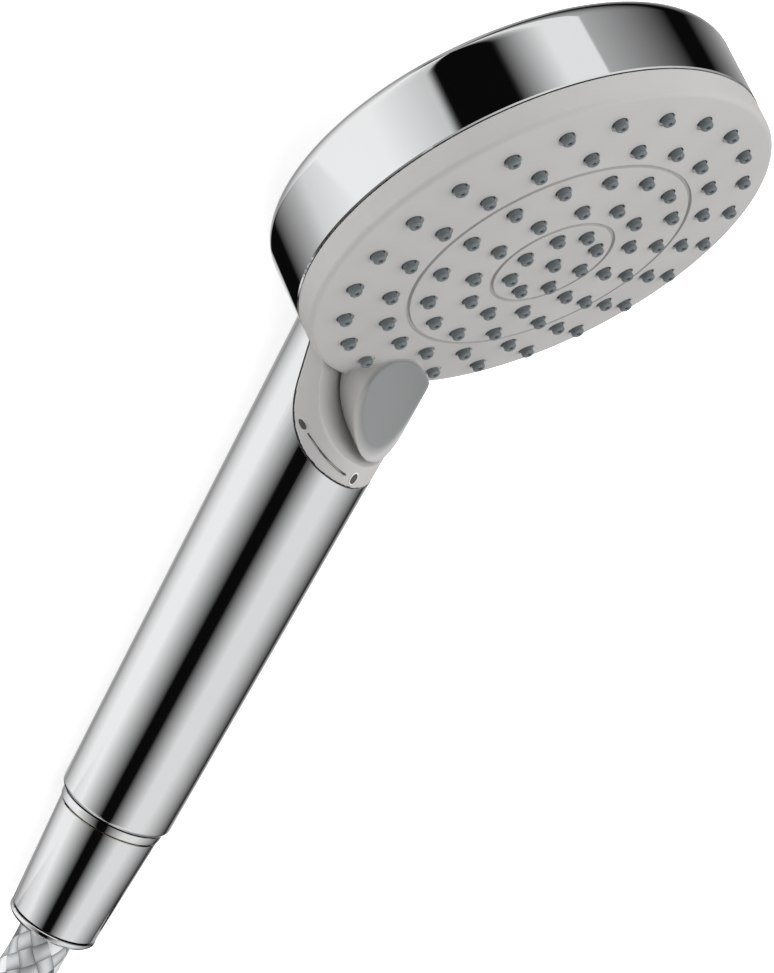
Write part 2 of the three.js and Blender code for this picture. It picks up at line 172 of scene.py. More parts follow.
def arc(centre_x, centre_z, radius, start, stop, steps):
    """Points on an arc, with its angles in degrees."""
    angles = [math.radians(start + (stop - start) * i / steps) for i in range(steps + 1)]
    return [(centre_x + radius * math.cos(a), centre_z + radius * math.sin(a)) for a in angles]


def softened(profile, radius, steps=3, closed=False):
    """The profile with each of its corners rounded to at most that radius."""
    points = [Vector(p) for p in profile]
    result = []
    for i, point in enumerate(points):
        if not closed and i in (0, len(points) - 1):
            result.append(tuple(point))
            continue
        before, after = points[i - 1] - point, points[(i + 1) % len(points)] - point
        angle = before.angle(after, math.pi)
        if angle > math.radians(165):
            result.append(tuple(point))
            continue
        reach = min(radius / math.tan(angle / 2), before.length * 0.45, after.length * 0.45)
        start, end = point + before.normalized() * reach, point + after.normalized() * reach
        for step in range(steps + 1):
            t = step / steps
            result.append(tuple(start * (1 - t) ** 2 + point * 2 * t * (1 - t) + end * t * t))
    return result


def new_object(name, mesh):
    made = bpy.data.objects.new(name, mesh)
    bpy.context.scene.collection.objects.link(made)
    return made


def solid(name, shape):
    """An object from a bmesh whose faces are made to point outwards."""
    bmesh.ops.recalc_face_normals(shape, faces=shape.faces)
    mesh = bpy.data.meshes.new(name)
    shape.to_mesh(mesh)
    shape.free()
    return new_object(name, mesh)


def bridge(shape, low, high):
    """Faces between two rings, either of which may be a single point."""
    count = max(len(low), len(high))
    for i in range(count):
        j = (i + 1) % count
        corners = (low[i % len(low)], low[j % len(low)], high[j % len(high)], high[i % len(high)])
        corners = list(dict.fromkeys(corners))
        if len(corners) > 2:
            shape.faces.new(corners)


def lathe(name, profile, segments=96, closed=False):
    """A solid turned about Z from (radius, height) points."""
    shape = bmesh.new()
    rings = []
    for radius, height in profile:
        if radius < 1e-6:
            rings.append([shape.verts.new((0, 0, height))])
            continue
        turn = [2 * math.pi * i / segments for i in range(segments)]
        rings.append(
            [shape.verts.new((radius * math.cos(a), radius * math.sin(a), height)) for a in turn]
        )
    for low, high in zip(rings, rings[1:] + rings[:1] if closed else rings[1:]):
        bridge(shape, low, high)
    return solid(name, shape)


def tube_between(name, inner, outer, low, high, segments=96):
    if inner <= 0:
        return lathe(name, [(0, low), (outer, low), (outer, high), (0, high)], segments)
    profile = [(inner, low), (outer, low), (outer, high), (inner, high)]
    return lathe(name, profile, segments, closed=True)


def prism(name, outline, place):
    """A solid between the outline at place(u, v, 0) and at place(u, v, 1)."""
    shape = bmesh.new()
    ends = [[shape.verts.new(place(u, v, end)) for u, v in outline] for end in (0, 1)]
    for end in ends:
        shape.faces.new(end)
    bridge(shape, *ends)
    return solid(name, shape)


def bake(piece):
    """Turns the evaluated piece into a plain mesh, with no modifier left on it."""
    depsgraph = bpy.context.evaluated_depsgraph_get()
    mesh = bpy.data.meshes.new_from_object(piece.evaluated_get(depsgraph))
    old = piece.data
    piece.modifiers.clear()
    piece.data = mesh
    bpy.data.meshes.remove(old)


def combine(piece, operation, *tools):
    """A boolean of the piece with each tool in turn; the tools are used up."""
    for tool in tools:
        modifier = piece.modifiers.new("shape", "BOOLEAN")
        modifier.operation, modifier.object, modifier.solver = operation, tool, "EXACT"
        bake(piece)
        bpy.data.objects.remove(tool)
        if not piece.data.polygons:
            raise RuntimeError(f"{piece.name} has nothing left after {operation}")
    return piece


def soften(piece, voxel, rounds):
    """Rounds every edge of a solid by remeshing it and relaxing the result."""
    remesh = piece.modifiers.new("even", "REMESH")
    remesh.mode, remesh.voxel_size = "VOXEL", voxel
    relax = piece.modifiers.new("relax", "SMOOTH")
    relax.factor, relax.iterations = 0.5, rounds
    bake(piece)
    return piece


def moved(piece, matrix):
    piece.data.transform(matrix)
    return piece


def finish_piece(piece, matrix, finish, body, slot, *nodes, smooth=SMOOTH_BELOW):
    """Puts a shape in its place in metres, and gives it its finish and body."""
    piece.data.transform(matrix)
    mesh = piece.data
    mesh.polygons.foreach_set("use_smooth", [True] * len(mesh.polygons))
    mesh.set_sharp_from_angle(angle=smooth)
    mesh.materials.clear()
    mesh.materials.append(finish)
    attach(piece, body)
    if nodes:
        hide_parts(*nodes)
    return piece


# ---- Materials ---------------------------------------------------------------------------------


def link(tree, source, target):
    tree.links.new(source, target)


def wear_group():
    """Fine grain and slow unevenness, shared by every finish."""
    found = bpy.data.node_groups.get("Surface grain")
    if found:
        return found
    tree = bpy.data.node_groups.new("Surface grain", "ShaderNodeTree")
    for name, default in (("Grain size", 900.0), ("Patch size", 60.0)):
        socket = tree.interface.new_socket(name=name, in_out="INPUT", socket_type="NodeSocketFloat")
        socket.default_value = default
    for name in ("Grain", "Patches"):
        tree.interface.new_socket(name=name, in_out="OUTPUT", socket_type="NodeSocketFloat")
    entry, leave = tree.nodes.new("NodeGroupInput"), tree.nodes.new("NodeGroupOutput")
    place = tree.nodes.new("ShaderNodeTexCoord")
    for name, detail in (("Grain", 3.0), ("Patches", 2.0)):
        noise = tree.nodes.new("ShaderNodeTexNoise")
        noise.inputs["Detail"].default_value = detail
        link(tree, place.outputs["Object"], noise.inputs["Vector"])
        size = "Grain size" if name == "Grain" else "Patch size"
        link(tree, entry.outputs[size], noise.inputs["Scale"])
        link(tree, noise.outputs["Fac"], leave.inputs[name])
    return tree


def blank_material(name):
    material = bpy.data.materials.new(name)
    material.use_nodes = True
    tree = material.node_tree
    return material, tree, tree.nodes["Principled BSDF"]


def spread(tree, value, low, high):
    """Maps a mask, which is about 0.3 to 0.7, onto low to high."""
    node = tree.nodes.new("ShaderNodeMapRange")
    for socket, number in (("From Min", 0.3), ("From Max", 0.7), ("To Min", low), ("To Max", high)):
        node.inputs[socket].default_value = number
    link(tree, value, node.inputs["Value"])
    return node.outputs["Result"]


def blend_colours(tree, mask, first, second):
    node = tree.nodes.new("ShaderNodeMix")
    node.data_type = "RGBA"
    link(tree, mask, node.inputs["Factor"])
    node.inputs[6].default_value = (*first, 1)
    node.inputs[7].default_value = (*second, 1)
    return node.outputs[2]


def bump(tree, height, strength, distance):
    node = tree.nodes.new("ShaderNodeBump")
    node.inputs["Strength"].default_value = strength
    node.inputs["Distance"].default_value = distance
    link(tree, height, node.inputs["Height"])
    return node.outputs["Normal"]


def surface(name, colour, roughness, metallic=0.0, variation=0.04, rough_spread=0.04, grain=900.0,
            patches=60.0, relief=0.0, relief_depth=0.00005, coat=0.0, specular=0.5):
    """A finish whose colour and gloss vary a little over the surface, with an optional fine grain."""
    found = bpy.data.materials.get(name)
    if found:
        return found
    material, tree, shader = blank_material(name)
    wear = tree.nodes.new("ShaderNodeGroup")
    wear.node_tree = wear_group()
    wear.inputs["Grain size"].default_value = grain
    wear.inputs["Patch size"].default_value = patches
    light = [min(1.0, c * (1 + variation)) for c in colour]
    dark = [c * (1 - variation) for c in colour]
    tint = blend_colours(tree, spread(tree, wear.outputs["Patches"], 0, 1), dark, light)
    link(tree, tint, shader.inputs["Base Color"])
    gloss = spread(
        tree, wear.outputs["Patches"], max(0.0, roughness - rough_spread), roughness + rough_spread
    )
    link(tree, gloss, shader.inputs["Roughness"])
    shader.inputs["Metallic"].default_value = metallic
    shader.inputs["Coat Weight"].default_value = coat
    shader.inputs["Specular IOR Level"].default_value = specular
    if relief:
        normal = bump(tree, wear.outputs["Grain"], relief, relief_depth)
        link(tree, normal, shader.inputs["Normal"])
    return material


def chrome():
    colour = tuple(bpy.context.scene.shower_colours.chrome)
    return surface("chrome plating", colour, 0.035, 1.0, 0.01, 0.012, patches=25.0)


def grey_plastic():
    colour = tuple(bpy.context.scene.shower_colours.face)
    return surface("warm grey plastic", colour, 0.42, 0.0, 0.025, 0.04, 1600.0, 35.0, 0.08)


def lever_plastic_painted_shade():
    """The grey plastic, darkened by painted shade where the lever is hollowed for the thumb."""
    found = bpy.data.materials.get("lever plastic")
    if found:
        return found
    material = grey_plastic().copy()
    material.name = "lever plastic"
    tree = material.node_tree
    shader = next(n for n in tree.nodes if n.bl_idname == "ShaderNodeBsdfPrincipled")
    plain = shader.inputs["Base Color"].links[0].from_socket
    # Painted shade: the hollow attribute darkens the colour over the thumb hollow.
    hollow = tree.nodes.new("ShaderNodeAttribute")
    hollow.attribute_name = "hollow"
    painted_shade = tree.nodes.new("ShaderNodeMix")
    painted_shade.data_type, painted_shade.blend_type = "RGBA", "MULTIPLY"
    link(tree, hollow.outputs["Fac"], painted_shade.inputs["Factor"])
    link(tree, plain, painted_shade.inputs[6])
    # The colour that the painted shade multiplies by, a little blue.
    painted_shade.inputs[7].default_value = (0.47, 0.50, 0.51, 1)
    link(tree, painted_shade.outputs[2], shader.inputs["Base Color"])
    return material


def silicone():
    colour = tuple(bpy.context.scene.shower_colours.nozzles)
    return surface("nozzle silicone", colour, 0.38, 0.0, 0.08, 0.05, 1800.0, 300.0, 0.1)


def white_plastic():
    return surface("moulded white plastic", (0.78, 0.78, 0.75), 0.45, 0, 0.03, 0.05, relief=0.1)


def black_rubber():
    return surface("black rubber", (0.02, 0.02, 0.021), 0.62, 0, 0.2, 0.08, 1500.0, relief=0.25)


def brass():
    return surface("turned brass", (0.66, 0.47, 0.19), 0.26, 1.0, 0.08, 0.07, 1200.0, 180.0, 0.12)


def steel():
    return surface("bright steel", (0.56, 0.565, 0.57), 0.24, 1.0, 0.06, 0.07, 1400.0, 220.0, 0.1)


def mark_grey():
    return surface("printed mark", (0.055, 0.058, 0.06), 0.45, 0, 0.1, 0.05)


def math_node(tree, operation, first, second=None):
    node = tree.nodes.new("ShaderNodeMath")
    node.operation = operation
    for socket, value in zip(node.inputs, (first, second)):
        if value is None:
            continue
        if isinstance(value, (int, float)):
            socket.default_value = value
        else:
            link(tree, value, socket)
    return node.outputs[0]


def braid_group():
    """Two sets of flat strands that wind round a hose, over and under each other."""
    found = bpy.data.node_groups.get("Braid")
    if found:
        return found
    tree = bpy.data.node_groups.new("Braid", "ShaderNodeTree")
    for name, default in (("Strands", 8.0), ("Turns per metre", 30.0)):
        socket = tree.interface.new_socket(name=name, in_out="INPUT", socket_type="NodeSocketFloat")
        socket.default_value = default
    tree.interface.new_socket(name="Around", in_out="INPUT", socket_type="NodeSocketFloat")
    tree.interface.new_socket(name="Along", in_out="INPUT", socket_type="NodeSocketFloat")
    for name in ("Height", "Dark", "Bright"):
        tree.interface.new_socket(name=name, in_out="OUTPUT", socket_type="NodeSocketFloat")
    entry, leave = tree.nodes.new("NodeGroupInput"), tree.nodes.new("NodeGroupOutput")
    around = math_node(tree, "MULTIPLY", entry.outputs["Around"], entry.outputs["Strands"])
    pitch = math_node(tree, "MULTIPLY", entry.outputs["Turns per metre"], entry.outputs["Strands"])
    run = math_node(tree, "MULTIPLY", entry.outputs["Along"], pitch)
    ways = [math_node(tree, way, around, run) for way in ("ADD", "SUBTRACT")]
    crowns, numbers = [], []
    for way in ways:
        part = math_node(tree, "FRACT", way)
        crown = math_node(tree, "SINE", math_node(tree, "MULTIPLY", part, math.pi))
        crowns.append(crown)
        numbers.append(math_node(tree, "FLOOR", way))
    parity = math_node(tree, "PINGPONG", math_node(tree, "ADD", *numbers), 1.0)
    over = math_node(tree, "MULTIPLY", crowns[0], parity)
    rest = math_node(tree, "MULTIPLY", crowns[1], math_node(tree, "SUBTRACT", 1.0, parity))
    link(tree, math_node(tree, "ADD", over, rest), leave.inputs["Height"])
    dark = math_node(tree, "LESS_THAN", math_node(tree, "FRACT", math_node(
        tree, "MULTIPLY", math_node(tree, "ADD", numbers[0], 0.25), 0.25)), 0.3)
    link(tree, math_node(tree, "MULTIPLY", dark, parity), leave.inputs["Dark"])
    bright = math_node(tree, "LESS_THAN", math_node(tree, "FRACT", math_node(
        tree, "MULTIPLY", math_node(tree, "ADD", numbers[1], 0.25), 0.25)), 0.3)
    flipped = math_node(tree, "SUBTRACT", 1.0, parity)
    link(tree, math_node(tree, "MULTIPLY", bright, flipped), leave.inputs["Bright"])
    return tree


def hose_finish():
    """Silver, dark and white strands under a clear glossy jacket."""
    found = bpy.data.materials.get("braided hose")
    if found:
        return found
    material, tree, shader = blank_material("braided hose")
    coordinates = tree.nodes.new("ShaderNodeUVMap")
    coordinates.uv_map = "route"
    split = tree.nodes.new("ShaderNodeSeparateXYZ")
    link(tree, coordinates.outputs["UV"], split.inputs[0])
    braid = tree.nodes.new("ShaderNodeGroup")
    braid.node_tree = braid_group()
    braid.inputs["Strands"].default_value = bpy.context.scene.hose_sizes.strands
    braid.inputs["Turns per metre"].default_value = 22.0
    link(tree, split.outputs[0], braid.inputs["Around"])
    link(tree, split.outputs[1], braid.inputs["Along"])
    # Painted shade: the silver strands darken towards their edges, where they dip under their neighbours.
    silver_painted_shade = blend_colours(
        tree, math_node(tree, "POWER", braid.outputs["Height"], 0.6), (0.10, 0.11, 0.115), (0.62, 0.64, 0.65)
    )
    tone = tree.nodes.new("ShaderNodeMix")
    tone.data_type = "RGBA"
    link(tree, math_node(tree, "MULTIPLY", braid.outputs["Dark"], 0.85), tone.inputs["Factor"])
    link(tree, silver_painted_shade, tone.inputs[6])
    tone.inputs[7].default_value = (0.03, 0.034, 0.037, 1)
    light = tree.nodes.new("ShaderNodeMix")
    light.data_type = "RGBA"
    link(tree, math_node(tree, "MULTIPLY", braid.outputs["Bright"], 0.9), light.inputs["Factor"])
    link(tree, tone.outputs[2], light.inputs[6])
    light.inputs[7].default_value = (0.9, 0.91, 0.91, 1)
    link(tree, light.outputs[2], shader.inputs["Base Color"])
    shader.inputs["Metallic"].default_value = 0.35
    wear = tree.nodes.new("ShaderNodeGroup")
    wear.node_tree = wear_group()
    link(tree, spread(tree, wear.outputs["Patches"], 0.26, 0.36), shader.inputs["Roughness"])
    shader.inputs["Coat Weight"].default_value = 1.0
    shader.inputs["Coat Roughness"].default_value = 0.05
    link(tree, bump(tree, braid.outputs["Height"], 0.5, 0.0004), shader.inputs["Normal"])
    return material


def strap_finish():
    """A woven strap, with its threads across the UV map's two directions."""
    found = bpy.data.materials.get("woven strap")
    if found:
        return found
    material, tree, shader = blank_material("woven strap")
    coordinates = tree.nodes.new("ShaderNodeUVMap")
    coordinates.uv_map = "route"
    split = tree.nodes.new("ShaderNodeSeparateXYZ")
    link(tree, coordinates.outputs["UV"], split.inputs[0])
    threads = []
    for axis, period in ((0, 0.0008), (1, 0.0006)):
        turns = math_node(tree, "MULTIPLY", split.outputs[axis], 2 * math.pi / period)
        threads.append(math_node(tree, "SINE", turns))
    weave = math_node(tree, "MULTIPLY", *threads)
    height = math_node(tree, "MULTIPLY_ADD", weave, 0.5)
    height.node.inputs[2].default_value = 0.5
    # Painted shade: the strap is darker in the dips of the weave.
    colour = blend_colours(tree, height, (0.012, 0.012, 0.014), (0.05, 0.05, 0.055))
    link(tree, colour, shader.inputs["Base Color"])
    wear = tree.nodes.new("ShaderNodeGroup")
    wear.node_tree = wear_group()
    link(tree, spread(tree, wear.outputs["Patches"], 0.62, 0.8), shader.inputs["Roughness"])
    link(tree, bump(tree, height, 0.6, 0.0002), shader.inputs["Normal"])
    return material


# ---- Stage -------------------------------------------------------------------------------------

VIEW_RIGHT = Vector((-0.448802, 0.590902, 0.670382))
VIEW_UP = Vector((-0.861670, -0.087313, -0.499903))
VIEW_BACK = Vector((-0.236861, -0.802005, 0.548348))
VIEW_POINT = Vector((-0.2046, -0.6775, 0.4995))
LENS = 155.06
SOFT_LIGHT_FROM = (-0.2, 0.6, 0.75)  # the side that soft light for dull surfaces comes from
SOFT_LIGHT_FADE = (-0.3, 0.95, 0.2, 2.2)  # shares of that way, and the light at each
FLOOR_REACH, FLOOR_HEIGHT = 4.0, -0.0002
FLOOR_GLOW = 0.6  # the floor is a softly lit table, so that shadows on it stay faint

# Soft boxes that polished metal mirrors, each as (fade in, full from, full to, fade out, brightness)
# in degrees: round the handle's ring of directions, by turn about X, and round the head's side wall.
HANDLE_BOXES = ((140, 205, 235, 290, 0.9), (-50, -10, 20, 90, 0.75), (90, 115, 130, 160, 0.7))
HEAD_BOXES = (
    (185, 210, 220, 232, 0.8), (247, 249, 290, 310, 0.6), (250, 265, 275, 295, 0.3),
    (324, 326, 340, 358, 0.4),
)
DARK_STUDIO = 0.003  # between the soft boxes
HANDLE_RING_AT = 0.3  # share of X in the directions that the handle mirrors
HEAD_RING_AT = -0.377  # share of the head's axis in those that its side wall mirrors
RING_CHANGE = 12.0  # how sharply one ring gives way to the other
MIRROR_GAIN = 1.3  # how much brighter the mirrored studio is than the boxes say


def ramp(tree, position, stops, low, high):
    """Brightness along stops, which may lie closer than one colour ramp holds."""
    node = tree.nodes.new("ShaderNodeFloatCurve")
    curve = node.mapping.curves[0]
    places = [((degrees - low) / (high - low), value) for degrees, value in stops]
    curve.points[0].location, curve.points[1].location = places[0], places[-1]
    for place in places[1:-1]:
        curve.points.new(*place)
    for point in curve.points:
        point.handle_type = "VECTOR"
    node.mapping.update()
    scaled = tree.nodes.new("ShaderNodeMapRange")
    scaled.inputs["From Min"].default_value = low
    scaled.inputs["From Max"].default_value = high
    link(tree, position, scaled.inputs["Value"])
    link(tree, scaled.outputs["Result"], node.inputs["Value"])
    return node.outputs["Value"]


def share(tree, direction, axis):
    """How much of a direction lies along an axis."""
    dot = tree.nodes.new("ShaderNodeVectorMath")
    dot.operation = "DOT_PRODUCT"
    link(tree, direction, dot.inputs[0])
    dot.inputs[1].default_value = axis
    return dot.outputs["Value"]


def turn_about(tree, direction, first, second):
    """Degrees from first towards second of a direction, in the plane of both."""
    angle = math_node(tree, "ARCTAN2", share(tree, direction, second), share(tree, direction, first))
    return math_node(tree, "MULTIPLY", angle, 180 / math.pi)


def studio_world():
    world = bpy.data.worlds.new("studio")
    bpy.context.scene.world = world
    world.use_nodes = True
    tree = world.node_tree
    tree.nodes.clear()
    out = tree.nodes.new("ShaderNodeOutputWorld")
    place = tree.nodes.new("ShaderNodeTexCoord").outputs["Generated"]
    around_handle = turn_about(tree, place, (0, 0, 1), (0, 1, 0))
    handle = ramp(tree, around_handle, handle_ring(), -180, 180)
    head_x, head_z = HEAD.col[0].xyz.normalized(), HEAD.col[2].xyz.normalized()
    around_head = turn_about(tree, place, tuple(head_x), (0, 1, 0))
    head = ramp(tree, around_head, head_ring(), -180, 180)
    # Each direction belongs to the ring that it lies closer to.
    along_head, along_x = share(tree, place, head_z), share(tree, place, (1, 0, 0))
    from_head = math_node(tree, "ABSOLUTE", math_node(tree, "SUBTRACT", along_head, HEAD_RING_AT))
    from_handle = math_node(tree, "ABSOLUTE", math_node(tree, "SUBTRACT", along_x, HANDLE_RING_AT))
    closer = math_node(tree, "SUBTRACT", from_head, from_handle)
    which = spread(tree, math_node(tree, "MULTIPLY_ADD", closer, RING_CHANGE), 0.0, 1.0)
    mix = tree.nodes.new("ShaderNodeMix")
    link(tree, which, mix.inputs["Factor"])
    link(tree, head, mix.inputs[2])
    link(tree, handle, mix.inputs[3])
    mirrored, plain = tree.nodes.new("ShaderNodeBackground"), tree.nodes.new("ShaderNodeBackground")
    link(tree, math_node(tree, "MULTIPLY", mix.outputs[0], MIRROR_GAIN), mirrored.inputs["Strength"])
    lit = tree.nodes.new("ShaderNodeMapRange")
    for socket, value in zip(("From Min", "From Max", "To Min", "To Max"), SOFT_LIGHT_FADE):
        lit.inputs[socket].default_value = value
    link(tree, share(tree, place, SOFT_LIGHT_FROM), lit.inputs["Value"])
    link(tree, lit.outputs["Result"], plain.inputs["Strength"])
    white = tree.nodes.new("ShaderNodeBackground")
    white.inputs["Color"].default_value = (1, 1, 1, 1)
    path = tree.nodes.new("ShaderNodeLightPath")
    choose, seen = tree.nodes.new("ShaderNodeMixShader"), tree.nodes.new("ShaderNodeMixShader")
    link(tree, path.outputs["Is Glossy Ray"], choose.inputs[0])
    link(tree, plain.outputs[0], choose.inputs[1])
    link(tree, mirrored.outputs[0], choose.inputs[2])
    link(tree, path.outputs["Is Camera Ray"], seen.inputs[0])
    link(tree, choose.outputs[0], seen.inputs[1])
    link(tree, white.outputs[0], seen.inputs[2])
    link(tree, seen.outputs[0], out.inputs[0])


def wrapped(stops):
    """The stops brought into -180 to 180 degrees, in order, with both ends filled."""
    inside = sorted((((degrees + 180) % 360) - 180, value) for degrees, value in stops)
    edge = (inside[0][1] + inside[-1][1]) / 2
    return [(-180, edge), *inside, (180, edge)]


def box_light(boxes, degrees):
    """Brightness that the soft boxes give at an angle; each fades in and out along its sides."""
    total = DARK_STUDIO
    for rise, start, stop, fall, brightness in boxes:
        turn = (degrees - rise) % 360
        if turn < start - rise:
            total += brightness * turn / (start - rise)
        elif turn <= stop - rise:
            total += brightness
        elif turn < fall - rise:
            total += brightness * (fall - rise - turn) / (fall - stop)
    return total


def box_corners(boxes):
    return sorted({corner for box in boxes for corner in box[:4]})


def handle_ring():
    return wrapped([(at, box_light(HANDLE_BOXES, at)) for at in box_corners(HANDLE_BOXES)])


def head_ring():
    """The boxes round the head as turns of the mirrored direction about the head's axis."""
    head_x = HEAD.col[0].xyz.normalized()
    seen = math.degrees(math.atan2(VIEW_BACK.y, VIEW_BACK.dot(head_x)))
    return wrapped([(2 * at - seen, box_light(HEAD_BOXES, at)) for at in box_corners(HEAD_BOXES)])


def make_stage():
    scene = bpy.context.scene
    scene.view_settings.view_transform = "Standard"
    camera = bpy.data.objects.new("camera", bpy.data.cameras.new("camera"))
    scene.collection.objects.link(camera)
    turn = Matrix((VIEW_RIGHT, VIEW_UP, VIEW_BACK)).transposed().to_4x4()
    camera.matrix_world = Matrix.Translation(VIEW_POINT) @ turn
    camera.data.lens = LENS
    camera.data.sensor_fit = "AUTO"
    camera.data.sensor_width = 36
    camera.data.clip_start, camera.data.clip_end = 0.01, 20
    scene.camera = camera
    sides = [(x * FLOOR_REACH, y * FLOOR_REACH) for x, y in ((-1, -1), (1, -1), (1, 1), (-1, 1))]
    mesh = bpy.data.meshes.new("floor")
    mesh.from_pydata([(x, y, FLOOR_HEIGHT) for x, y in sides], [], [(0, 1, 2, 3)])
    floor = new_object("floor", mesh)
    pale = surface("pale floor", (0.95, 0.95, 0.95), 0.9, 0, 0.004, 0.02)
    glow = next(n for n in pale.node_tree.nodes if n.bl_idname == "ShaderNodeBsdfPrincipled")
    glow.inputs["Emission Color"].default_value = (1, 1, 1, 1)
    glow.inputs["Emission Strength"].default_value = FLOOR_GLOW
    floor.data.materials.append(pale)
    floor.visible_glossy = False
    studio_world()
    for name, place, energy, width in (
        ("key", (-0.5, 0.9, 1.7), 7.0, 1.8),
        ("fill", (-0.9, -1.1, 1.6), 4.0, 1.8),
    ):
        lamp = bpy.data.lights.new(name, "AREA")
        lamp.energy, lamp.size = energy, width
        light = bpy.data.objects.new(name, lamp)
        scene.collection.objects.link(light)
        light.location = place
        light.rotation_euler = (-Vector(place)).to_track_quat("-Z", "Y").to_euler()
        light.visible_glossy = False


# ---- Hose --------------------------------------------------------------------------------------

RUN = (
    (112.9, 0, 11.9), (118, 0, 11.8), (127, 0, 11.5), (136.6, -0.9, 10.6), (145.8, -3.7, 9.5),
    (154.4, -8.1, 8.5), (161.9, -14.2, 7.8),
)
END = ((218, 90.5, 19.4), (206, 90.3, 19.2), (194, 89.5, 18.6), (181.1, 88.2, 17.6), (168.2, 86.3, 16))
COIL_CENTRE = (218, 24)
# Turns of the coil: (degrees from X, radius, height).
COIL = (
    (-134.23, 66.5, 7.4), (141, 66.5, 7.4), (226, 54.5, 7.4), (475.5, 54.5, 7.4),
    (560.5, 54.5, 19.4), (810, 54.5, 19.4), (895, 66.5, 19.4), (1170, 66.5, 19.4),
)


def eased(t):
    return t * t * (3 - 2 * t)


def coil_points(step=12):
    points = []
    for (start, radius, height), (stop, next_radius, next_height) in zip(COIL, COIL[1:]):
        count = max(1, round((stop - start) / step))
        for i in range(count):
            t = i / count
            turn = math.radians(start + (stop - start) * t)
            out = radius + (next_radius - radius) * eased(t)
            lift = height + (next_height - height) * eased(t)
            points.append(
                (COIL_CENTRE[0] + out * math.cos(turn), COIL_CENTRE[1] + out * math.sin(turn), lift)
            )
    return points


def smooth_line(points, step):
    """Points every step along a smooth curve through the given ones."""
    knots = [Vector(p) for p in points]
    dense = []
    for i in range(len(knots) - 1):
        before, start = knots[max(i - 1, 0)], knots[i]
        end, after = knots[i + 1], knots[min(i + 2, len(knots) - 1)]
        count = max(2, round((end - start).length / 0.5))
        for j in range(count):
            t = j / count
            dense.append(0.5 * (
                2 * start + (end - before) * t + (2 * before - 5 * start + 4 * end - after) * t * t
                + (3 * start - before - 3 * end + after) * t**3
            ))
    dense.append(knots[-1])
    kept, walked = [dense[0]], 0.0
    for last, point in zip(dense, dense[1:]):
        walked += (point - last).length
        if walked >= step:
            kept.append(point)
            walked = 0.0
    if (kept[-1] - dense[-1]).length < step * 0.5:
        kept.pop()
    return kept + [dense[-1]]


def hose_line():
    route = [*RUN, *coil_points(), *END]
    return smooth_line(route, 2.5)


def swept(name, line, section, closed=False):
    """A section carried along a line, with a UV map of (way round, metres along)."""
    shape = bmesh.new()
    layer = shape.loops.layers.uv.new("route")
    count, sides = len(line), len(section)
    rings, walked, distance = [], [0.0], 0.0
    side = None
    for i, point in enumerate(line):
        ahead = line[(i + 1) % count] if closed or i < count - 1 else point
        behind = line[i - 1] if closed or i > 0 else point
        tangent = (ahead - behind).normalized()
        up = Vector((0, 0, 1))
        side = tangent.cross(up).normalized()
        rise = side.cross(tangent)
        rings.append([shape.verts.new(point + side * u + rise * v) for u, v in section])
        if i:
            distance += (point - line[i - 1]).length
            walked.append(distance)
    for i in range(count if closed else count - 1):
        j = (i + 1) % count
        reach = (walked[i] * MM, (walked[j] if j else distance) * MM)
        for k in range(sides):
            m = (k + 1) % sides
            face = shape.faces.new((rings[i][k], rings[i][m], rings[j][m], rings[j][k]))
            values = ((k, 0), (k + 1, 0), (k + 1, 1), (k, 1))
            for loop, (around, end) in zip(face.loops, values):
                loop[layer].uv = (around / sides, reach[end])
    if not closed:
        shape.faces.new(rings[0])
        shape.faces.new(rings[-1])
    return solid(name, shape)


def make_hose():
    sizes = bpy.context.scene.hose_sizes
    radius = sizes.diameter / 2 / MM
    section = [
        (radius * math.cos(2 * math.pi * i / 24), radius * math.sin(2 * math.pi * i / 24))
        for i in range(24)
    ]
    line = hose_line()
    hose = swept("hose", line, section)
    scale = Matrix.Scale(MM, 4)
    finish_piece(
        hose, scale, hose_finish(), "shower_body", "hose_braid", "hose_run", "hose_coil", "hose_end"
    )
    path = [tuple(point * MM) for point in line]
    return hose, path


def strap_line():
    """The strap's middle line round the two by two turns, in (distance from the middle, height)."""
    low, high, bottom, top, corner = 47.35, 73.35, 0.55, 26.25, 6.5
    corners = (
        (high - corner, bottom + corner, -90), (high - corner, top - corner, 0),
        (low + corner, top - corner, 90), (low + corner, bottom + corner, 180),
    )
    return [p for x, z, start in corners for p in arc(x, z, corner, start, start + 90, 8)]


def make_ties():
    ties = []
    for number, degrees in ((1, 40), (2, 170)):
        shape = bmesh.new()
        layer = shape.loops.layers.uv.new("route")
        line = strap_line()
        half, thick = 4.0, 0.5
        section = [
            (-half, -thick), (half, -thick), (half + 0.25, -thick / 2), (half + 0.25, thick / 2),
            (half, thick), (-half, thick), (-half - 0.25, thick / 2), (-half - 0.25, -thick / 2),
        ]
        section = [(u * 4.0 / 4.25, v) for u, v in section]
        count, rings, walked = len(line), [], [0.0]
        for i, (x, z) in enumerate(line):
            ahead, behind = line[(i + 1) % count], line[i - 1]
            out = Vector((ahead[1] - behind[1], behind[0] - ahead[0])).normalized()
            rings.append([shape.verts.new((x + out.x * v, u, z + out.y * v)) for u, v in section])
            if i:
                walked.append(walked[-1] + math.dist(line[i], line[i - 1]))
        whole = walked[-1] + math.dist(line[0], line[-1])
        for i in range(count):
            j = (i + 1) % count
            reach = (walked[i] * MM, (walked[j] if j else whole) * MM)
            for k in range(len(section)):
                m = (k + 1) % len(section)
                face = shape.faces.new((rings[i][k], rings[i][m], rings[j][m], rings[j][k]))
                places = ((section[k][0], 0), (section[m][0], 0), (section[m][0], 1), (section[k][0], 1))
                for loop, (across, end) in zip(face.loops, places):
                    loop[layer].uv = (across * MM, reach[end])
        tie = solid(f"strap_{number}", shape)
        turn = Matrix.Rotation(math.radians(degrees), 4, "Z")
        place = Matrix.Scale(MM, 4) @ Matrix.Translation((*COIL_CENTRE, 0)) @ turn
        ties.append(finish_piece(
            tie, place, strap_finish(), "shower_body", "strap", f"hose_tie_{number}",
        ))
    return ties


# ---- Chrome body -------------------------------------------------------------------------------


